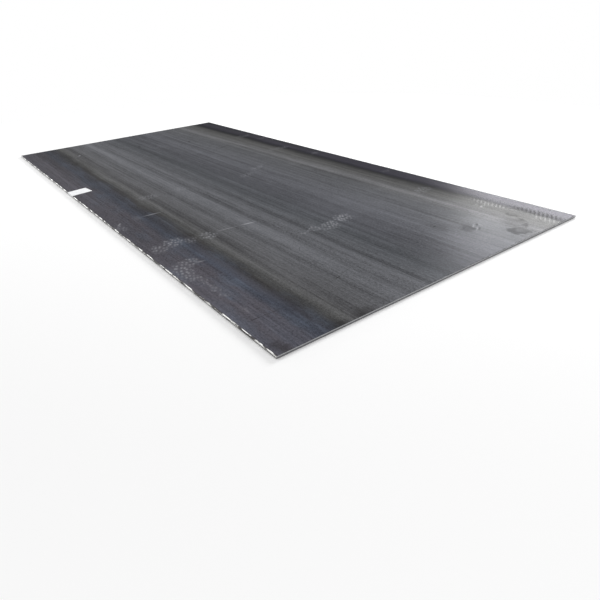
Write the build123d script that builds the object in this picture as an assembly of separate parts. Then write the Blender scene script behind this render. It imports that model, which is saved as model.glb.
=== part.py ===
from build123d import *
import os

# Hot-rolled steel plate, cut to length from coil, with its mill edges left on.
# A paper label is stuck over one long edge.
# Frame: origin at the middle of the underside, +X along the rolling direction, +Y across the width, +Z up.
# All sizes are in millimetres.

# Plate
LENGTH = 3000.0
WIDTH = 1500.0
THICKNESS = 10.0

# Mill edges: the long sides are left as they spread between the rolls.
# They are convex and round off into the faces.
EDGE_CROWN = 0.4       # how far the middle of a long edge bulges out
ROUND_REACH = 2.4      # from the bulge inwards to where the face begins
ROUND_DEPTH = 2.0      # from the face to where the bulge begins
ROUND_RADIUS = 2.8

# Sheared ends: the blade bends the face in, cuts part of the way, and the rest breaks off at a slant.
ROLLOVER_REACH = 1.6   # how far from the end the blade drew the face down
ROLLOVER_DEPTH = 0.8
ROLLOVER_RADIUS = 2.6
CUT_DEPTH = 4.0        # from that face to the foot of the smooth, square cut
BREAK_SLANT = 0.8      # how far the broken zone falls back: the gap between the blades

# Paper label, stuck on the upper face and folded down over one long edge, a little askew
LABEL_WIDTH = 84.0
LABEL_REACH = 105.0    # from the long edge inwards
LABEL_FOLD = 7.0       # how far it hangs down from the upper face
LABEL_SKEW = 7.0       # degrees
LABEL_FROM_END = 1165.0
PAPER = 0.20
GLUE = 0.05            # film of adhesive between the paper and the steel


def rolled_section():
    """The plate's cross-section, as it leaves the rolls: two flat faces and two convex mill edges."""
    side = WIDTH / 2
    bulge = side - EDGE_CROWN
    flat = bulge - ROUND_REACH
    low = ROUND_DEPTH
    high = THICKNESS - ROUND_DEPTH
    with BuildSketch(Plane.YZ) as section:
        with BuildLine():
            Line((-flat, 0), (flat, 0))
            RadiusArc((flat, 0), (bulge, low), -ROUND_RADIUS)
            ThreePointArc((bulge, low), (side, THICKNESS / 2), (bulge, high))
            RadiusArc((bulge, high), (flat, THICKNESS), -ROUND_RADIUS)
            Line((flat, THICKNESS), (-flat, THICKNESS))
            RadiusArc((-flat, THICKNESS), (-bulge, high), -ROUND_RADIUS)
            ThreePointArc((-bulge, high), (-side, THICKNESS / 2), (-bulge, low))
            RadiusArc((-bulge, low), (-flat, 0), -ROUND_RADIUS)
        make_face()
    return section.sketch


def sheared_profile():
    """The plate seen from a long side, with the two ends as the shear leaves them.

    The +X end stayed on the shear's bed and shows its smooth cut at the top.
    The -X end was pushed down by the blade, so it is the same shape turned upside down.
    """
    end = LENGTH / 2
    held_end = [(end - BREAK_SLANT, 0), (end, THICKNESS - CUT_DEPTH),
                (end, THICKNESS - ROLLOVER_DEPTH), (end - ROLLOVER_REACH, THICKNESS)]
    pushed_end = [(-x, THICKNESS - z) for x, z in held_end]
    with BuildSketch(Plane.XZ) as profile:
        with BuildLine():
            for break_foot, cut_foot, cut_top, face_edge in (held_end, pushed_end):
                Polyline(break_foot, cut_foot, cut_top)
                RadiusArc(cut_top, face_edge, -ROLLOVER_RADIUS)
            Line(held_end[-1], pushed_end[0])
            Line(pushed_end[-1], held_end[0])
        make_face()
    return profile.sketch


def steel_plate():
    """One solid: the rolled section along the whole length, trimmed to the sheared profile."""
    bar = extrude(rolled_section(), amount=LENGTH, both=True)
    trim = extrude(sheared_profile(), amount=WIDTH, both=True)
    return bar & trim


def paper_label():
    """A layer of paper that follows the section over the mill edge, trimmed to a skewed rectangle."""
    section = rolled_section()
    layer = offset(section, GLUE + PAPER) - offset(section, GLUE)
    top = THICKNESS + GLUE + PAPER
    drop = LABEL_FOLD + GLUE + PAPER
    reach = LABEL_REACH + LABEL_WIDTH
    window = Plane.YZ * Pos(-WIDTH / 2, top - drop / 2) * Rectangle(2 * reach, drop)
    strip = extrude(layer & window, amount=LENGTH / 2, both=True)
    place = Pos(LABEL_FROM_END - LENGTH / 2, -WIDTH / 2, top) * Rot(0, 0, LABEL_SKEW)
    sheet = place * Box(LABEL_WIDTH, 2 * LABEL_REACH, 2 * THICKNESS)
    return strip & sheet


os.makedirs("parts", exist_ok=True)
export_step(steel_plate(), "parts/steel_plate.step")
export_step(paper_label(), "parts/paper_label.step")
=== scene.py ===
import math

import bpy
from mathutils import Matrix, Quaternion, Vector


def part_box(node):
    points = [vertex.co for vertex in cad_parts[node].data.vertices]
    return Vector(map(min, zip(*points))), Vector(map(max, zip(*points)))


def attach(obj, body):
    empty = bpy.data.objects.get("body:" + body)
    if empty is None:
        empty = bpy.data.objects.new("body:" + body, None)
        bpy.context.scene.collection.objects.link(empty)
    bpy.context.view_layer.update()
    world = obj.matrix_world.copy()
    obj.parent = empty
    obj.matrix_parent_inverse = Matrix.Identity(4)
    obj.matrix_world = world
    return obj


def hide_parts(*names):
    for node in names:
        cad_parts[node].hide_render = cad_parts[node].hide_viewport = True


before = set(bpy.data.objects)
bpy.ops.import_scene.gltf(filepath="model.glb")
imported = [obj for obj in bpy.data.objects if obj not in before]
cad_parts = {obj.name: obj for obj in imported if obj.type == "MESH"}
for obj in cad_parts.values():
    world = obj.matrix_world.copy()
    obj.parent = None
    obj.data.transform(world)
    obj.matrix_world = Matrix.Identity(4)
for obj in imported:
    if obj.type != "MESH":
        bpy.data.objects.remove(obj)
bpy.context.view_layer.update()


# Steel plate: low-carbon steel, hot-rolled to gauge, with a skin of mill scale on both faces.
# The long sides are mill edges, left round by the rolls. The two ends were cut by a shear.
# It lies flat on its underside, and the oxide is darker where the strip's edges cooled first.

MM = 0.001
plate_low, plate_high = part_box("steel_plate")
LENGTH = plate_high.x - plate_low.x
WIDTH = round(plate_high.y - plate_low.y, 3)  # the frame's facets cut the bulge a hair short
THICKNESS = plate_high.z - plate_low.z
WAVE_HEIGHT = 0.25 * MM  # slight waves of the upper face

# Mill edges: a slight bulge with a round into each face, worn by handling.
EDGE_CROWN = 0.4 * MM
ROUND_REACH = 2.4 * MM
ROUND_DEPTH = 2.0 * MM
EDGE_WEAR = 0.7 * MM

# Sheared ends: a face that the blade drew down, a square cut, and a slanting, grainy break.
ROLLOVER_REACH = 1.6 * MM
ROLLOVER_DEPTH = 0.8 * MM
CUT_DEPTH = 4.0 * MM
BREAK_SLANT = 0.8 * MM
BREAK_GRAIN = 0.25 * MM


def add(tree, kind, *values, sockets=None, **settings):
    """Adds a node with its settings and links.

    A value is a number, a colour, a socket, or a node, which stands for its first output.
    The keys in sockets are names, or indices where two sockets share a name.
    """
    node = tree.nodes.new(kind)
    for setting, choice in settings.items():
        setattr(node, setting, choice)
    for key, value in [*enumerate(values), *(sockets or {}).items()]:
        if isinstance(value, bpy.types.Node):
            value = next(socket for socket in value.outputs if socket.enabled)
        if isinstance(value, bpy.types.NodeSocket):
            tree.links.new(value, node.inputs[key])
        elif value is not None:
            node.inputs[key].default_value = value
    return node


def linear(colour):
    """An sRGB hex colour as linear RGBA."""
    channels = [int(colour[i:i + 2], 16) / 255 for i in (1, 3, 5)]
    return [c / 12.92 if c <= 0.04045 else ((c + 0.055) / 1.055) ** 2.4 for c in channels] + [1.0]


# The finish: mill scale is a thin, hard, blue-grey iron oxide with a satin shine.
# It gives long streaks along the rolling direction, and bands of thinner oxide along both mill edges.

scale_steel = bpy.data.materials.new("mill scale on hot-rolled steel")
scale_steel.use_nodes = True
skin = scale_steel.node_tree
skin.nodes.clear()
here = add(skin, "ShaderNodeTexCoord").outputs["Object"]
x, y, z = add(skin, "ShaderNodeSeparateXYZ", here).outputs


def rolled_grain(length, width, height=1000.0, detail=3.0):
    """Noise drawn out along the rolling direction. The sizes are those of its streaks, in mm."""
    drawn = add(skin, "ShaderNodeMapping", here, sockets={
        "Scale": [1 / (size * MM) for size in (length, width, height)]})
    return add(skin, "ShaderNodeTexNoise", drawn, sockets={"Scale": 1.0, "Detail": detail, "Roughness": 0.6})


# Streaks and grain, from the broadest to the finest.
# Speckle and grit are drawn coarser than they are, so that they show.
broad_streaks = rolled_grain(5200, 85)
narrow_streaks = rolled_grain(1700, 28)
fine_streaks = rolled_grain(700, 8)
clouds = rolled_grain(420, 300)
mottle = rolled_grain(75, 30)
speckle = rolled_grain(11, 8)
grit = rolled_grain(4, 3)
MOST_OF_NOISE = (0.3, 0.7)  # nearly all of a noise's values lie in this range

# Bands of oxide, from one mill edge to the other: place across the plate in mm, then the colour there.
OXIDE_BANDS = [
    (-750, "#4b494f"), (-640, "#47454b"), (-610, "#3a3d46"), (-568, "#35353a"), (-542, "#393838"),
    (-520, "#4c4c4c"), (-495, "#565657"), (-470, "#4b4b4d"), (-290, "#5c5d61"), (-190, "#58595d"),
    (-60, "#47494d"), (60, "#4a4b50"), (200, "#515257"), (420, "#4d4e51"), (500, "#5c5c5e"),
    (530, "#4d4d4e"), (560, "#4d4d4d"), (600, "#3b3b3b"), (628, "#212122"), (652, "#1f1e26"),
    (700, "#2a2832"), (750, "#292930")]
# They run askew, by so much for each metre, and drift a little to and fro.
SKEW = 10 * MM
DRIFT = 14 * MM
# Those on the -Y side also bend in towards the -X end, with the square of the metres from the bend's start.
BEND = 6.8 * MM
BEND_START = 900 * MM
UNBENT = -200 * MM
FULLY_BENT = -450 * MM
askew = add(skin, "ShaderNodeMath", x, -SKEW, y, operation="MULTIPLY_ADD")
past_start = add(skin, "ShaderNodeMath", x, BEND_START, operation="SUBTRACT")
bend = add(skin, "ShaderNodeMath", past_start, 2.0, operation="POWER")
bend_share = add(skin, "ShaderNodeMapRange", y, UNBENT, FULLY_BENT, 0.0, -BEND)
across = add(skin, "ShaderNodeMath", bend, bend_share, askew, operation="MULTIPLY_ADD")
drift = add(skin, "ShaderNodeMapRange", clouds, *MOST_OF_NOISE, -DRIFT, DRIFT)
wandering = add(skin, "ShaderNodeMath", across, drift, operation="ADD")
band_share = add(skin, "ShaderNodeMapRange", wandering, -WIDTH / 2, WIDTH / 2, 0.0, 1.0)
oxide = add(skin, "ShaderNodeValToRGB", band_share)
while len(oxide.color_ramp.elements) < len(OXIDE_BANDS):
    oxide.color_ramp.elements.new(0.5)
for stop, (band, colour) in zip(oxide.color_ramp.elements, OXIDE_BANDS):
    stop.position = 0.5 + band * MM / WIDTH
    stop.color = linear(colour)

# Streaks that run the whole length: middle and half width in mm, then how much lighter or darker.
LONG_STREAKS = [
    (492, 20, 0.15), (450, 20, -0.06), (290, 34, 0.07), (187, 12, 0.11), (124, 20, -0.16),
    (60, 26, -0.06), (-45, 24, -0.1), (-100, 14, 0.14), (-146, 16, -0.19), (-194, 14, 0.07),
    (-236, 18, -0.19), (-288, 34, 0.13), (-350, 18, -0.06), (-414, 28, 0.22), (-463, 14, -0.06),
    (-500, 9, 0.12), (-705, 10, 0.08)]
FRAY = 4 * MM
STREAK_DRIFT = 0.35
STREAK_CORE = 0.55
ragged = add(skin, "ShaderNodeMapRange", speckle, *MOST_OF_NOISE, -FRAY, FRAY)
frayed = add(skin, "ShaderNodeMath", drift, STREAK_DRIFT, ragged, operation="MULTIPLY_ADD")
frayed = add(skin, "ShaderNodeMath", across, frayed, operation="ADD")
streaks = 0.0
for centre, half, change in LONG_STREAKS:
    off = add(skin, "ShaderNodeMath", frayed, centre * MM, operation="SUBTRACT")
    off = add(skin, "ShaderNodeMath", off, operation="ABSOLUTE")
    streak = add(skin, "ShaderNodeMapRange", off, half * MM, STREAK_CORE * half * MM, 0.0, change)
    streaks = add(skin, "ShaderNodeMath", streaks, streak, operation="ADD")

# A ripple that makes the outlines of prints and stains uneven.
RIPPLE = 28 * MM
SHOVE = 25 * MM
ripple = add(skin, "ShaderNodeTexNoise", here, sockets={"Scale": 1 / RIPPLE, "Detail": 3.0})
shove = add(skin, "ShaderNodeMapRange", data_type="FLOAT_VECTOR", sockets={
    "Vector": ripple.outputs["Color"], 9: (-SHOVE,) * 3, 10: (SHOVE,) * 3})
wavering = add(skin, "ShaderNodeVectorMath", here, shove, operation="ADD")


def ovals(marks, where, soft):
    """A mask of soft ovals. Each fades out at its rim over the share soft of its size.

    A mark is middle along, middle across, half length and half width in mm, turn in degrees, and strength.
    The great height of its scale makes an oval the same all through the plate.
    """
    mask = 0.0
    for place_x, place_y, half_long, half_wide, turn, strength in marks:
        local = add(skin, "ShaderNodeMapping", where, vector_type="TEXTURE", sockets={
            "Location": (place_x * MM, place_y * MM, 0.0), "Rotation": (0.0, 0.0, math.radians(turn)),
            "Scale": (half_long * MM, half_wide * MM, 1000.0)})
        reach = add(skin, "ShaderNodeVectorMath", local, operation="LENGTH").outputs["Value"]
        mark = add(skin, "ShaderNodeMapRange", reach, 1.0, 1.0 - soft, 0.0, strength,
                   interpolation_type="SMOOTHSTEP")
        mask = add(skin, "ShaderNodeMath", mask, mark, operation="MAXIMUM")
    return mask


# Patches of paler and of darker oxide. The three dark patches at the -X end are painted shade, which darkens
# that end.
PALE_PATCHES = [
    (900, 220, 480, 480, 0, 0.26), (850, -250, 420, 220, 0, 0.1), (1200, -680, 800, 210, 0, 0.3),
    (1000, -582, 520, 44, 0, 0.62), (1150, -450, 450, 36, 0, 0.45), (1300, 430, 130, 90, 0, 0.25)]
DARK_OXIDE_AND_PAINTED_SHADE = [
    (-1400, -610, 700, 260, 0, 0.28), (-1060, -515, 520, 80, 2, 0.36), (-1150, 690, 1100, 150, 0, 0.25),
    (1220, 518, 360, 34, 0.6, 0.32), (-330, 728, 420, 50, 0, 0.4)]
broken_up = add(skin, "ShaderNodeMapRange", rolled_grain(1100, 60), 0.35, 0.6, 0.6, 1.3)
shade = add(skin, "ShaderNodeMath", streaks, broken_up, 1.0, operation="MULTIPLY_ADD")
shade = add(skin, "ShaderNodeMath", shade, ovals(PALE_PATCHES, here, 0.9), operation="ADD")
# The dark patches darken the oxide; those at the -X end are painted shade.
shade = add(skin, "ShaderNodeMath", shade, ovals(DARK_OXIDE_AND_PAINTED_SHADE, here, 0.9), operation="SUBTRACT")

# Shorter streaks and grain: how much each pattern lightens and darkens the oxide.
PATTERN_DEPTHS = [
    (broad_streaks, 0.6), (narrow_streaks, 0.9), (fine_streaks, 1.1), (clouds, 0.3), (mottle, 0.5),
    (speckle, 1.3), (grit, 1.8)]
for pattern, depth in PATTERN_DEPTHS:
    swing = add(skin, "ShaderNodeMapRange", pattern, 0.0, 1.0, -depth / 2, depth / 2)
    shade = add(skin, "ShaderNodeMath", shade, swing, operation="ADD")

# The band on the -Y side is tinged with blue, more so towards the +X end.
# The blue laps unevenly towards the edge.
BLUE_PATCHES = [
    (1310, -738, 290, 46, 0, 0.3), (1420, -655, 190, 70, 0, 0.22), (900, -744, 110, 34, 0, 0.4),
    (1110, -665, 110, 36, 0, 0.35), (480, -690, 100, 36, 0, 0.3), (95, -650, 70, 40, 0, 0.3),
    (-200, -640, 120, 40, 0, 0.3)]
BAND_START = -520 * MM
BAND_FULL = -560 * MM
BLUE_FULL = -610 * MM
BLUE_FADED = -680 * MM
LAP = 80 * MM
near_band = add(skin, "ShaderNodeMapRange", wandering, BAND_START, BAND_FULL, 0.0, 1.0)
lapping = add(skin, "ShaderNodeMapRange", rolled_grain(190, 120), 0.35, 0.65, -LAP, LAP)
lapping = add(skin, "ShaderNodeMath", wandering, lapping, operation="ADD")
thinning = add(skin, "ShaderNodeMapRange", lapping, BLUE_FADED, BLUE_FULL, 0.3, 1.1)
bluer = add(skin, "ShaderNodeMapRange", x, -LENGTH / 2, LENGTH / 2, 0.7, 1.5)
blue = add(skin, "ShaderNodeMapRange", rolled_grain(260, 60), 0.46, 0.6, 0.0, 0.32)
for limit in (near_band, thinning, bluer):
    blue = add(skin, "ShaderNodeMath", blue, limit, operation="MULTIPLY")
blue = add(skin, "ShaderNodeMath", blue, ovals(BLUE_PATCHES, wavering, 0.8), operation="ADD")
tinted = add(skin, "ShaderNodeMix", blue, data_type="RGBA", sockets={6: oxide, 7: linear("#4a505b")})
streaked = add(skin, "ShaderNodeVectorMath", tinted, sockets={"Scale": shade.outputs[0]}, operation="SCALE")

# Boot prints: patches of dust in rows of small lugs, which came off the soles unevenly.
LUG_LENGTH = 22 * MM
LUG_PITCH = 14 * MM
LUG_TURN = math.radians(-27)
TREADS = [
    (882, 55, 62, 46, 100, 0.8), (912, -42, 66, 46, 105, 0.7), (896, -106, 40, 30, 95, 0.8),
    (903, -170, 44, 14, 105, 0.5), (662, -480, 48, 46, 90, 0.7), (655, -552, 38, 40, 90, 0.45),
    (632, -622, 66, 52, 92, 0.7), (655, -690, 46, 46, 92, 0.6), (838, -658, 44, 42, 90, 0.6),
    (878, -706, 86, 46, -12, 0.7), (944, -714, 46, 40, 0, 0.6), (1000, -690, 62, 15, 0, 0.5),
    (-38, 235, 56, 38, 112, 0.45), (45, 120, 72, 34, 100, 0.35), (10, -275, 44, 40, 90, 0.4),
    (12, -455, 72, 44, 100, 0.45), (870, 575, 70, 42, 95, 0.45), (-320, 600, 100, 36, 92, 0.45),
    (-815, 645, 74, 38, 92, 0.45), (-50, 690, 46, 30, 100, 0.35), (-660, 700, 44, 30, 95, 0.3),
    (525, 700, 38, 26, 95, 0.3), (-980, 70, 58, 46, 90, 0.25), (330, -725, 54, 30, 8, 0.5),
    (1090, -685, 80, 15, 0, 0.45), (1255, -683, 40, 15, 0, 0.2)]
rows = add(skin, "ShaderNodeMapping", here, vector_type="TEXTURE", sockets={
    "Rotation": (0.0, 0.0, LUG_TURN), "Scale": (LUG_LENGTH, LUG_PITCH, 1.0)})
lugs = add(skin, "ShaderNodeTexVoronoi", rows, voronoi_dimensions="2D", sockets={
    "Scale": 1.0, "Randomness": 0.65})
lug = add(skin, "ShaderNodeMapRange", lugs, 0.48, 0.12, 0.1, 0.68)
lifted_off = add(skin, "ShaderNodeMapRange", ripple, 0.38, 0.6, 0.55, 1.0)
lug = add(skin, "ShaderNodeMath", lug, lifted_off, operation="MULTIPLY")
trodden = add(skin, "ShaderNodeMath", ovals(TREADS, wavering, 0.5), lug, operation="MULTIPLY")

# Comb marks: rows of short slanting ticks along the +Y band's border near one end.
# Some are rubbed bright, some are dark.
COMB_PITCH = 18 * MM
COMB_SLANT = 0.55
BRIGHT_COMB = [(1195, 629, 130, 24, 0, 1.0), (1450, 626, 80, 24, 0, 0.9)]
DARK_COMB = [(1390, 666, 150, 32, 0, 0.32)]
slanted = add(skin, "ShaderNodeMath", y, COMB_SLANT, x, operation="MULTIPLY_ADD")
phase = add(skin, "ShaderNodeMath", slanted, math.tau / COMB_PITCH, operation="MULTIPLY")
tooth = add(skin, "ShaderNodeMath", phase, operation="SINE")
bright_tooth = add(skin, "ShaderNodeMapRange", tooth, 0.0, 0.8, 0.1, 1.0)
dark_tooth = add(skin, "ShaderNodeMapRange", tooth, 0.6, -0.6, 0.15, 1.0)
bright_comb = add(skin, "ShaderNodeMath", ovals(BRIGHT_COMB, here, 0.6), bright_tooth, operation="MULTIPLY")
dark_comb = add(skin, "ShaderNodeMath", ovals(DARK_COMB, here, 0.5), dark_tooth, operation="MULTIPLY")

# Pale scuffs, places rubbed bright, dark scratches and dents from handling, and dried stains.
SCUFFS = [
    (661, -285, 46, 8, 82, 0.6), (651, -385, 70, 5, 85, 0.4), (262, -550, 64, 7, 88, 0.5),
    (262, -620, 46, 28, 0, 0.12), (285, -715, 28, 8, -38, 0.45), (857, -625, 30, 7, 80, 0.35),
    (-1165, -445, 24, 10, -35, 0.6)]
RUBBED = [
    (1190, 575, 20, 9, -60, 1.0), (1187, 602, 22, 5, -60, 0.8), (1160, 582, 14, 6, -60, 0.6),
    (1300, 362, 26, 5, -62, 0.7), (1326, 350, 28, 5, -62, 0.7), (1312, 392, 14, 5, 10, 0.5)]
SCRATCHES = [
    (1252, -262, 68, 2.2, 106, 0.4), (1276, -333, 22, 3.2, 104, 0.8), (1284, -385, 38, 2.0, 98, 0.4),
    (1314, -625, 78, 2.4, 90, 0.45), (1313, -688, 34, 3.0, 90, 0.75), (1160, -255, 52, 2.0, 96, 0.3),
    (-630, 350, 112, 7, 112, 0.3), (-970, 285, 28, 11, -40, 0.45), (-1100, -40, 62, 11, -15, 0.3),
    (1202, 248, 16, 7, 110, 0.6), (1012, -285, 26, 3, -38, 0.4), (1140, -319, 22, 4, -6, 0.4),
    (1300, 386, 16, 8, -50, 0.4), (1318, 336, 16, 8, 45, 0.4), (1288, 320, 28, 9, -45, 0.35),
    (1331, 358, 22, 6, -60, 0.35)]
STAINS = [
    (1330, 573, 44, 15, -12, 0.35), (1385, 556, 36, 15, -25, 0.3), (1425, 512, 34, 13, -55, 0.3),
    (1390, 505, 70, 56, 0, 0.12), (1500, -420, 60, 60, 0, 0.5), (1505, -520, 50, 44, 0, 0.6),
    (1475, -715, 60, 34, 25, 0.45), (1215, 248, 80, 46, 0, 0.2), (1300, 328, 56, 44, -30, 0.2)]
# Dried spots, dark towards the rim.
DRIED_SPOTS = [(1440, 445, 44, 46, 0, 0.3), (1475, -715, 40, 22, 25, 0.2)]
DRIED_MIDDLES = [(1441, 458, 34, 34, 0, 0.65)]
paler_middle = add(skin, "ShaderNodeMath", 1.0, ovals(DRIED_MIDDLES, wavering, 0.6), operation="SUBTRACT")
dried = add(skin, "ShaderNodeMath", ovals(DRIED_SPOTS, wavering, 0.3), paler_middle, operation="MULTIPLY")

# Only the upper face is walked on and marked.
MARKS_START = THICKNESS - 0.9 * MM
MARKS_FULL = THICKNESS - 0.4 * MM
upper = add(skin, "ShaderNodeMapRange", z, MARKS_START, MARKS_FULL, 0.0, 1.0)
dust = add(skin, "ShaderNodeMath", trodden, ovals(SCUFFS, here, 0.9), operation="MAXIMUM")
dust = add(skin, "ShaderNodeMath", dust, upper, operation="MULTIPLY")
rubbed = add(skin, "ShaderNodeMath", bright_comb, ovals(RUBBED, here, 0.9), operation="MAXIMUM")
rubbed = add(skin, "ShaderNodeMath", rubbed, upper, operation="MULTIPLY")
grime = ovals(SCRATCHES, here, 0.8)
for dirt in (ovals(STAINS, wavering, 0.8), dark_comb, dried):
    grime = add(skin, "ShaderNodeMath", grime, dirt, operation="MAXIMUM")
grime = add(skin, "ShaderNodeMath", grime, upper, operation="MULTIPLY")
soiled = add(skin, "ShaderNodeMix", grime, data_type="RGBA", sockets={6: streaked, 7: linear("#2c2b2b")})
polish = add(skin, "ShaderNodeMath", rubbed, 0.6, 1.0, operation="MULTIPLY_ADD")
polished = add(skin, "ShaderNodeVectorMath", soiled, sockets={"Scale": polish.outputs[0]}, operation="SCALE")
dusted = add(skin, "ShaderNodeMix", dust, data_type="RGBA", sockets={6: polished, 7: linear("#a6a7ac")})

# Mill edges: oxide worn through to bare steel in short strokes along the edge, painted near white as glints,
# and only on the upper part where the round catches the light. The foot stays dull.
EDGE_START = WIDTH / 2 - 3.4 * MM
EDGE_FULL = WIDTH / 2 - 1.6 * MM
FOOT = 3.4 * MM
ABOVE_FOOT = 4.4 * MM
side = add(skin, "ShaderNodeMath", y, operation="ABSOLUTE")
mill_edge = add(skin, "ShaderNodeMapRange", side, EDGE_START, EDGE_FULL, 0.0, 1.0)
strokes = rolled_grain(52, 400, 7, detail=2.0)
worn_glints = add(skin, "ShaderNodeMapRange", strokes, 0.48, 0.54, 0.0, 1.0)
above_foot = add(skin, "ShaderNodeMapRange", z, FOOT, ABOVE_FOOT, 0.0, 1.0)
worn_glints = add(skin, "ShaderNodeMath", worn_glints, above_foot, operation="MULTIPLY")
# The near-white strokes are painted glints on the worn steel.
edge_colour_with_glints = add(skin, "ShaderNodeMix", worn_glints, data_type="RGBA", sockets={
    6: linear("#4a4848"), 7: linear("#e6e6e4")})
edged = add(skin, "ShaderNodeMix", mill_edge, data_type="RGBA", sockets={6: dusted, 7: edge_colour_with_glints})

# Sheared ends: a smooth bright cut with the blade's upright marks, then a duller, grainy break.
# The face that the blade drew down beside the cut keeps its oxide.
END_START = LENGTH / 2 - 1.7 * MM
END_FULL = LENGTH / 2 - 0.9 * MM
DRAWN_FACE = THICKNESS / 2 - ROLLOVER_DEPTH
CUT_FOOT = THICKNESS / 2 - CUT_DEPTH
end = add(skin, "ShaderNodeMath", x, operation="ABSOLUTE")
sheared_end = add(skin, "ShaderNodeMapRange", end, END_START, END_FULL, 0.0, 1.0)
held = add(skin, "ShaderNodeMath", x, operation="SIGN")
from_middle_plane = add(skin, "ShaderNodeMath", z, THICKNESS / 2, operation="SUBTRACT")
cut_side = add(skin, "ShaderNodeMath", from_middle_plane, held, operation="MULTIPLY")
undrawn = add(skin, "ShaderNodeMapRange", cut_side, DRAWN_FACE - 0.1 * MM, DRAWN_FACE + 0.4 * MM, 1.0, 0.0)
sheared_end = add(skin, "ShaderNodeMath", sheared_end, undrawn, operation="MULTIPLY")
cut = add(skin, "ShaderNodeMapRange", cut_side, CUT_FOOT - 0.3 * MM, CUT_FOOT + 0.3 * MM, 0.0, 1.0)
cut_steel = add(skin, "ShaderNodeMix", rolled_grain(400, 3, 30), data_type="RGBA", sockets={
    6: linear("#86878a"), 7: linear("#babbbc")})
broken_steel = add(skin, "ShaderNodeMix", rolled_grain(400, 5, 3), data_type="RGBA", sockets={
    6: linear("#606063"), 7: linear("#98989b")})
end_colour = add(skin, "ShaderNodeMix", cut, data_type="RGBA", sockets={6: broken_steel, 7: cut_steel})
coloured = add(skin, "ShaderNodeMix", sheared_end, data_type="RGBA", sockets={6: edged, 7: end_colour})

# Shine: steel shows through thin oxide, most in the +Y band and towards its +X end, least along its border.
# Rubbed places shine more, and grime and dust less. Worn edges and sheared ends are bare steel.
FAR_BAND_START = 580 * MM
FAR_BAND_FULL = 640 * MM
BORDER = 645 * MM
BORDER_REACH = 26 * MM
BORDER_CORE = 8 * MM
THINNEST = [(1520, 650, 240, 150, 0, 0.03)]
far_band = add(skin, "ShaderNodeMapRange", wandering, FAR_BAND_START, FAR_BAND_FULL, 0.0, 1.0)
off_border = add(skin, "ShaderNodeMath", wandering, BORDER, operation="SUBTRACT")
off_border = add(skin, "ShaderNodeMath", off_border, operation="ABSOLUTE")
dulled = add(skin, "ShaderNodeMapRange", off_border, BORDER_REACH, BORDER_CORE, 0.0, 0.055,
             interpolation_type="SMOOTHSTEP")
thinner = add(skin, "ShaderNodeMapRange", x, -LENGTH / 2, LENGTH / 2, 0.165, 0.244)
metal = add(skin, "ShaderNodeMapRange", far_band, 0.0, 1.0, 0.145, thinner)
metal = add(skin, "ShaderNodeMath", metal, dulled, operation="SUBTRACT")
metal = add(skin, "ShaderNodeMath", metal, ovals(THINNEST, here, 0.9), operation="ADD")
for mark, change in [(grime, -0.08), (rubbed, 0.09)]:
    metal = add(skin, "ShaderNodeMath", mark, change, metal, operation="MULTIPLY_ADD")
bare = add(skin, "ShaderNodeMath", mill_edge, sheared_end, operation="MAXIMUM")
metal = add(skin, "ShaderNodeMath", bare, metal, operation="MAXIMUM")
metal = add(skin, "ShaderNodeMath", metal, dust, operation="SUBTRACT", use_clamp=True)

# Roughness: satin, smoother on thin oxide and bare steel, matt on dust and grime.
roughness = add(skin, "ShaderNodeMapRange", speckle, *MOST_OF_NOISE, 0.32, 0.42)
for mark, change in [(near_band, -0.07), (dust, 0.4), (grime, 0.25), (bare, -0.1)]:
    roughness = add(skin, "ShaderNodeMath", mark, change, roughness, operation="MULTIPLY_ADD")

# Relief: the fine grain of the scale, drawn coarser than it is so that it shows.
relief = add(skin, "ShaderNodeMath", speckle, fine_streaks, operation="ADD")
grained = add(skin, "ShaderNodeBump", sockets={"Strength": 0.15, "Distance": 0.4 * MM, "Height": relief})
# The shine is all in the metal part: the oxide has no reflection of its own.
steel = add(skin, "ShaderNodeBsdfPrincipled", sockets={
    "Base Color": coloured, "Metallic": metal, "Roughness": roughness, "Normal": grained,
    "Specular IOR Level": 0.0})
add(skin, "ShaderNodeOutputMaterial", steel)

# The shape: a subdivided block whose sides take the rolled section and whose ends take the sheared profile.

POINTS_ALONG = 401
POINTS_ACROSS = 81
POINTS_UP = 17
rolled = bpy.data.node_groups.new("rolled and sheared plate", "GeometryNodeTree")
rolled.interface.new_socket("Plate", in_out="OUTPUT", socket_type="NodeSocketGeometry")
plate_inputs = {
    "Length": LENGTH, "Width": WIDTH, "Thickness": THICKNESS, "Edge Crown": EDGE_CROWN,
    "Round Reach": ROUND_REACH, "Round Depth": ROUND_DEPTH, "Rollover Reach": ROLLOVER_REACH,
    "Rollover Depth": ROLLOVER_DEPTH, "Cut Depth": CUT_DEPTH, "Break Slant": BREAK_SLANT,
    "Edge Wear": EDGE_WEAR, "Break Grain": BREAK_GRAIN, "Wave Height": WAVE_HEIGHT, "Seed": 7.0}
for size_name in plate_inputs:
    rolled.interface.new_socket(size_name, in_out="INPUT", socket_type="NodeSocketFloat")
rolled.interface.new_socket("Finish", in_out="INPUT", socket_type="NodeSocketMaterial")
plate_inputs["Finish"] = scale_steel
given = add(rolled, "NodeGroupInput").outputs

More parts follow.
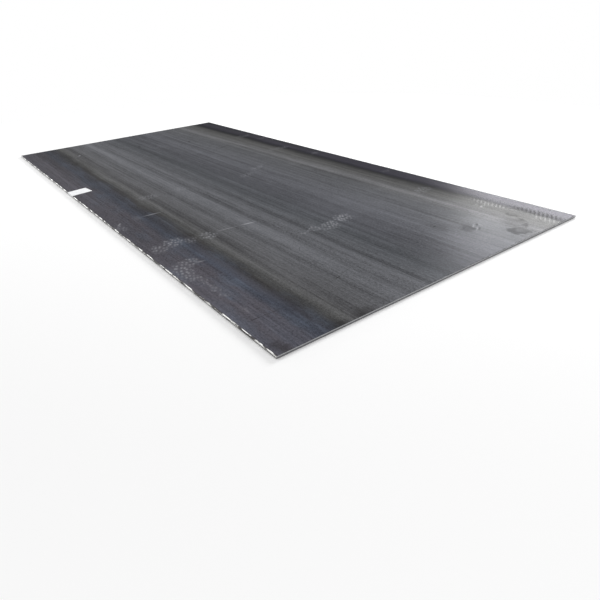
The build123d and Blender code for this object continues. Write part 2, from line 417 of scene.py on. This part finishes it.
# The block reaches from -1 to 1 each way, and its points are gathered towards the rims.
block = add(rolled, "GeometryNodeMeshCube", (2.0, 2.0, 2.0), POINTS_ALONG, POINTS_ACROSS, POINTS_UP)
even = add(rolled, "GeometryNodeInputPosition")
gathered = add(
    rolled, "ShaderNodeMapRange", data_type="FLOAT_VECTOR", interpolation_type="SMOOTHSTEP",
    sockets={"Vector": even, 7: (-1.0,) * 3, 8: (1.0,) * 3, 9: (-1.0,) * 3, 10: (1.0,) * 3})
u, v, w = add(rolled, "ShaderNodeSeparateXYZ", gathered).outputs
end_side = add(rolled, "ShaderNodeMath", u, operation="SIGN")
cut_height = add(rolled, "ShaderNodeMath", w, end_side, operation="MULTIPLY")
face_height = add(rolled, "ShaderNodeMath", w, operation="ABSOLUTE")
full_size = add(rolled, "ShaderNodeCombineXYZ", given["Length"], given["Width"], given["Thickness"])
doubled = add(rolled, "ShaderNodeVectorMath", gathered, full_size, operation="MULTIPLY")
real = add(rolled, "ShaderNodeVectorMath", doubled, (0.5, 0.5, 0.5), operation="MULTIPLY")


def from_middle(depth):
    """The height, from -1 at the underside to 1 at the upper face, that lies so far below that face."""
    part = add(rolled, "ShaderNodeMath", depth, given["Thickness"], operation="DIVIDE")
    return add(rolled, "ShaderNodeMath", part, -2.0, 1.0, operation="MULTIPLY_ADD")


def quarter_round(level, depth, reach):
    """How far a round falls back from the edge at each level."""
    rise = add(rolled, "ShaderNodeMapRange", level, from_middle(depth), 1.0, 0.0, 1.0)
    square = add(rolled, "ShaderNodeMath", rise, rise, operation="MULTIPLY")
    rest = add(rolled, "ShaderNodeMath", 1.0, square, operation="SUBTRACT")
    root = add(rolled, "ShaderNodeMath", rest, operation="SQRT")
    fall = add(rolled, "ShaderNodeMath", 1.0, root, operation="SUBTRACT")
    return add(rolled, "ShaderNodeMath", fall, reach, operation="MULTIPLY")


def grain(size, depth):
    """Seeded noise from 0 to depth. The sizes are along, across and up the plate, in mm."""
    scale = tuple(1 / (part * MM) for part in size)
    scaled = add(rolled, "ShaderNodeVectorMath", real, scale, operation="MULTIPLY")
    noise = add(rolled, "ShaderNodeTexNoise", scaled, given["Seed"], 1.0, 3.0, noise_dimensions="4D")
    return add(rolled, "ShaderNodeMapRange", noise, *MOST_OF_NOISE, 0.0, depth)


# The long sides fall back by the bulge, the rounds and the wear.
edge_round = quarter_round(face_height, given["Round Depth"], given["Round Reach"])
bulge = add(rolled, "ShaderNodeMath", face_height, face_height, operation="MULTIPLY")
edge_fall = add(rolled, "ShaderNodeMath", bulge, given["Edge Crown"], edge_round, operation="MULTIPLY_ADD")
edge_wear = grain((30, 400, 2.5), given["Edge Wear"])
edge_fall = add(rolled, "ShaderNodeMath", edge_fall, edge_wear, operation="ADD")

# The ends fall back by the rollover, the slant of the break and its grain.
end_fall = quarter_round(cut_height, given["Rollover Depth"], given["Rollover Reach"])
cut_foot = from_middle(given["Cut Depth"])
break_fall = add(rolled, "ShaderNodeMapRange", cut_height, -1.0, cut_foot, given["Break Slant"], 0.0)
end_fall = add(rolled, "ShaderNodeMath", end_fall, break_fall, operation="ADD")
in_break = add(rolled, "ShaderNodeMath", break_fall, 0.1 * MM, operation="GREATER_THAN")
break_grain = grain((400, 4, 2), given["Break Grain"])
torn = add(rolled, "ShaderNodeMath", in_break, break_grain, operation="MULTIPLY")
end_fall = add(rolled, "ShaderNodeMath", end_fall, torn, operation="ADD")

half_length = add(rolled, "ShaderNodeMath", given["Length"], 0.5, operation="MULTIPLY")
half_width = add(rolled, "ShaderNodeMath", given["Width"], 0.5, operation="MULTIPLY")
reach_x = add(rolled, "ShaderNodeMath", half_length, end_fall, operation="SUBTRACT")
reach_y = add(rolled, "ShaderNodeMath", half_width, edge_fall, operation="SUBTRACT")
shaped_x = add(rolled, "ShaderNodeMath", u, reach_x, operation="MULTIPLY")
shaped_y = add(rolled, "ShaderNodeMath", v, reach_y, operation="MULTIPLY")
dip = grain((700, 450, 400), given["Wave Height"])
top = add(rolled, "ShaderNodeMath", given["Thickness"], dip, operation="SUBTRACT")
shaped_z = add(rolled, "ShaderNodeMapRange", w, -1.0, 1.0, 0.0, top)
shaped = add(rolled, "ShaderNodeCombineXYZ", shaped_x, shaped_y, shaped_z)
formed = add(rolled, "GeometryNodeSetPosition", block, sockets={"Position": shaped})
smooth = add(rolled, "GeometryNodeSetShadeSmooth", formed)
whole = add(rolled, "GeometryNodeRealizeInstances", smooth)
finished = add(rolled, "GeometryNodeSetMaterial", whole, sockets={"Material": given["Finish"]})
add(rolled, "NodeGroupOutput", finished)

blank = bpy.data.objects.new("blank", bpy.data.meshes.new("blank"))
bpy.context.collection.objects.link(blank)
forming = blank.modifiers.new("rolled and sheared", "NODES")
forming.node_group = rolled
for item in rolled.interface.items_tree:
    if item.in_out == "INPUT":
        forming[item.identifier] = plate_inputs[item.name]
formed_blank = blank.evaluated_get(bpy.context.evaluated_depsgraph_get())
plate = bpy.data.objects.new("hot_rolled_plate", bpy.data.meshes.new_from_object(formed_blank))
bpy.data.objects.remove(blank)
bpy.context.collection.objects.link(plate)
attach(plate, "root")
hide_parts("steel_plate")


# Paper label: a plain white paper sticker, glued to the upper face near one end.
# It was stuck on a little askew, and its outer end is folded down over the mill edge.

LABEL_WIDTH = 84 * MM
LABEL_REACH = 105 * MM
LABEL_FOLD = 7 * MM
LABEL_SKEW = math.radians(7.0)
LABEL_FROM_END = 1165 * MM
PAPER = 0.20 * MM
GLUE = 0.05 * MM
WIDTH_STEPS = 24
REACH_STEPS = 40
ROUND_STEPS = 12

# The way across the section that the paper follows: from the flat face over the round,
# then down the side to the fold's end.
flat_edge = -WIDTH / 2 + EDGE_CROWN + ROUND_REACH
way = [Vector((flat_edge - (ROUND_REACH + EDGE_CROWN + GLUE) * math.sin(turn),
               THICKNESS - ROUND_DEPTH + (ROUND_DEPTH + GLUE) * math.cos(turn)))
       for turn in [math.radians(90 * i / ROUND_STEPS) for i in range(ROUND_STEPS + 1)]]
way.append(Vector((way[-1].x, THICKNESS - LABEL_FOLD)))

# Each line of points starts at the inner end and keeps the label's slant as it goes over the edge.
middle = Vector((LABEL_FROM_END - LENGTH / 2, -WIDTH / 2))
slant = math.tan(LABEL_SKEW)
points = []
for i in range(WIDTH_STEPS + 1):
    sideways = LABEL_WIDTH * (i / WIDTH_STEPS - 0.5)
    inner = middle + Matrix.Rotation(LABEL_SKEW, 2) @ Vector((sideways, LABEL_REACH))
    flat_run = [Vector((inner.y, way[0].y)).lerp(way[0], j / REACH_STEPS) for j in range(REACH_STEPS)]
    travelled = 0.0
    last = flat_run[0]
    for place in flat_run + way:
        travelled += (place - last).length
        last = place
        points.append((inner.x + travelled * slant, place.x, place.y))
line = REACH_STEPS + len(way)
quads = [(i * line + j, i * line + j + 1, (i + 1) * line + j + 1, (i + 1) * line + j)
         for i in range(WIDTH_STEPS) for j in range(line - 1)]
sticker_mesh = bpy.data.meshes.new("paper sticker")
sticker_mesh.from_pydata(points, [], quads)
sticker_mesh.polygons.foreach_set("use_smooth", [True] * len(quads))
sticker = bpy.data.objects.new("paper_sticker", sticker_mesh)
bpy.context.collection.objects.link(sticker)
sheet = sticker.modifiers.new("paper", "SOLIDIFY")
sheet.thickness = PAPER
sheet.offset = 1.0

# Uncoated white paper: bright, quite matt, with faint fibres and a little grey from handling.
# The fibres are drawn coarser than they are, to show.
HANDLING = 40 * MM
FIBRE = 1.5 * MM
paper = bpy.data.materials.new("uncoated white paper")
paper.use_nodes = True
pulp = paper.node_tree
pulp.nodes.clear()
on_paper = add(pulp, "ShaderNodeTexCoord").outputs["Object"]
handled = add(pulp, "ShaderNodeTexNoise", on_paper, sockets={"Scale": 1 / HANDLING, "Detail": 3.0})
greyed = add(pulp, "ShaderNodeMapRange", handled, 0.45, 0.75, 0.0, 0.5)
white = add(pulp, "ShaderNodeMix", greyed, data_type="RGBA", sockets={
    6: linear("#eeeff1"), 7: linear("#dadbdd")})
fibres = add(pulp, "ShaderNodeTexNoise", on_paper, sockets={"Scale": 1 / FIBRE, "Detail": 3.0})
felt = add(pulp, "ShaderNodeBump", sockets={"Strength": 0.2, "Distance": 0.05 * MM, "Height": fibres})
matt = add(pulp, "ShaderNodeBsdfPrincipled", sockets={"Base Color": white, "Roughness": 0.8, "Normal": felt})
add(pulp, "ShaderNodeOutputMaterial", matt)
sticker_mesh.materials.append(paper)
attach(sticker, "root")
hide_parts("paper_label")


# Floor, light and camera: a plain pale floor, soft lamps and the photograph's point of view.
# The floor is a wide disc that turns up at its rim.
# It lies a hair below the plate, so that no faces coincide.

FLOOR_RADIUS = 14.0
FLOOR_GAP = 0.2 * MM
COVE_RADIUS = 16.0
COVE_HEIGHT = 2.5
SPOKES = 96
bearings = [math.tau * i / SPOKES for i in range(SPOKES)]
spokes = [Vector((math.cos(bearing), math.sin(bearing), 0.0)) for bearing in bearings]
floor_points = [FLOOR_RADIUS * spoke - Vector((0.0, 0.0, FLOOR_GAP)) for spoke in spokes]
floor_points += [COVE_RADIUS * spoke + Vector((0.0, 0.0, COVE_HEIGHT)) for spoke in spokes]
cove = [(i, (i + 1) % SPOKES, SPOKES + (i + 1) % SPOKES, SPOKES + i) for i in range(SPOKES)]
floor_mesh = bpy.data.meshes.new("floor")
floor_mesh.from_pydata(floor_points, [], [tuple(range(SPOKES)), *cove])
floor = bpy.data.objects.new("floor", floor_mesh)
bpy.context.collection.objects.link(floor)

# Round the plate the floor takes its shadow. Further out it is plain white.
SHADOW_FLOOR = 1.75
WHITE_FLOOR = 3.2
pale = bpy.data.materials.new("pale studio floor")
pale.use_nodes = True
paint = pale.node_tree
paint.nodes.clear()
on_floor = add(paint, "ShaderNodeTexCoord").outputs["Object"]
spread = add(paint, "ShaderNodeVectorMath", on_floor, operation="LENGTH").outputs["Value"]
far = add(paint, "ShaderNodeMapRange", spread, SHADOW_FLOOR, WHITE_FLOOR, 0.0, 1.0,
          interpolation_type="SMOOTHSTEP")
near_floor = add(paint, "ShaderNodeBsdfDiffuse", linear("#fafafa"))
far_floor = add(paint, "ShaderNodeEmission", linear("#ffffff"), 1.0)
add(paint, "ShaderNodeOutputMaterial", add(paint, "ShaderNodeMixShader", far, near_floor, far_floor))
floor_mesh.materials.append(pale)

# The world gives soft light from above, and is plain white to the camera and in reflections.
studio = bpy.data.worlds.new("studio")
bpy.context.scene.world = studio
studio.use_nodes = True
sky = studio.node_tree
sky.nodes.clear()
upwards = add(sky, "ShaderNodeSeparateXYZ", add(sky, "ShaderNodeTexCoord").outputs["Object"]).outputs["Z"]
soft_light = add(sky, "ShaderNodeMapRange", upwards, 0.3, 0.75, 0.48, 0.88, interpolation_type="SMOOTHSTEP")
ray = add(sky, "ShaderNodeLightPath").outputs
seen = add(sky, "ShaderNodeMath", ray["Is Camera Ray"], ray["Is Glossy Ray"], operation="MAXIMUM")
seen = add(sky, "ShaderNodeMath", seen, ray["Is Transmission Ray"], operation="MAXIMUM")
brightness = add(sky, "ShaderNodeMath", seen, soft_light, operation="MAXIMUM")
add(sky, "ShaderNodeOutputWorld", add(sky, "ShaderNodeBackground", linear("#ffffff"), brightness))

# Soft boxes: name, place, aim, width and height in metres, then power in watts.
LAMPS = [
    ("key", (-2.5, -3.0, 3.6), (0.0, 0.0, 0.0), 3.0, 3.0, 25.0),
    ("back panel", (-0.15, 4.3, 1.6), (1.3, 0.5, 0.0), 2.1, 1.2, 200.0),
    ("edge strip", (-3.0, -2.3, 0.8), (0.0, -0.75, 0.0), 3.5, 0.6, 16.0)]
for lamp_name, stands_at, aim, wide, tall, power in LAMPS:
    lamp = bpy.data.lights.new(lamp_name, "AREA")
    lamp.shape = "RECTANGLE"
    lamp.size = wide
    lamp.size_y = tall
    lamp.energy = power
    stand = bpy.data.objects.new(lamp_name, lamp)
    stand.location = stands_at
    stand.rotation_mode = "QUATERNION"
    stand.rotation_quaternion = (Vector(aim) - Vector(stands_at)).to_track_quat("-Z", "Y")
    stand.visible_camera = False
    bpy.context.collection.objects.link(stand)

FOCAL_LENGTH = 29.864
EYE = Vector((2.36107, -1.34136, 0.78287))
GAZE = Vector((-0.72054, 0.47824, -0.50210))
ROLL = math.radians(-3.43)
lens = bpy.data.cameras.new("camera")
lens.lens = FOCAL_LENGTH
lens.shift_x = 0.0553
lens.shift_y = 0.0023
camera = bpy.data.objects.new("camera", lens)
camera.location = EYE
camera.rotation_mode = "QUATERNION"
camera.rotation_quaternion = GAZE.to_track_quat("-Z", "Y") @ Quaternion((0, 0, 1), ROLL)
bpy.context.collection.objects.link(camera)
bpy.context.scene.camera = camera
bpy.context.scene.view_settings.view_transform = "Standard"
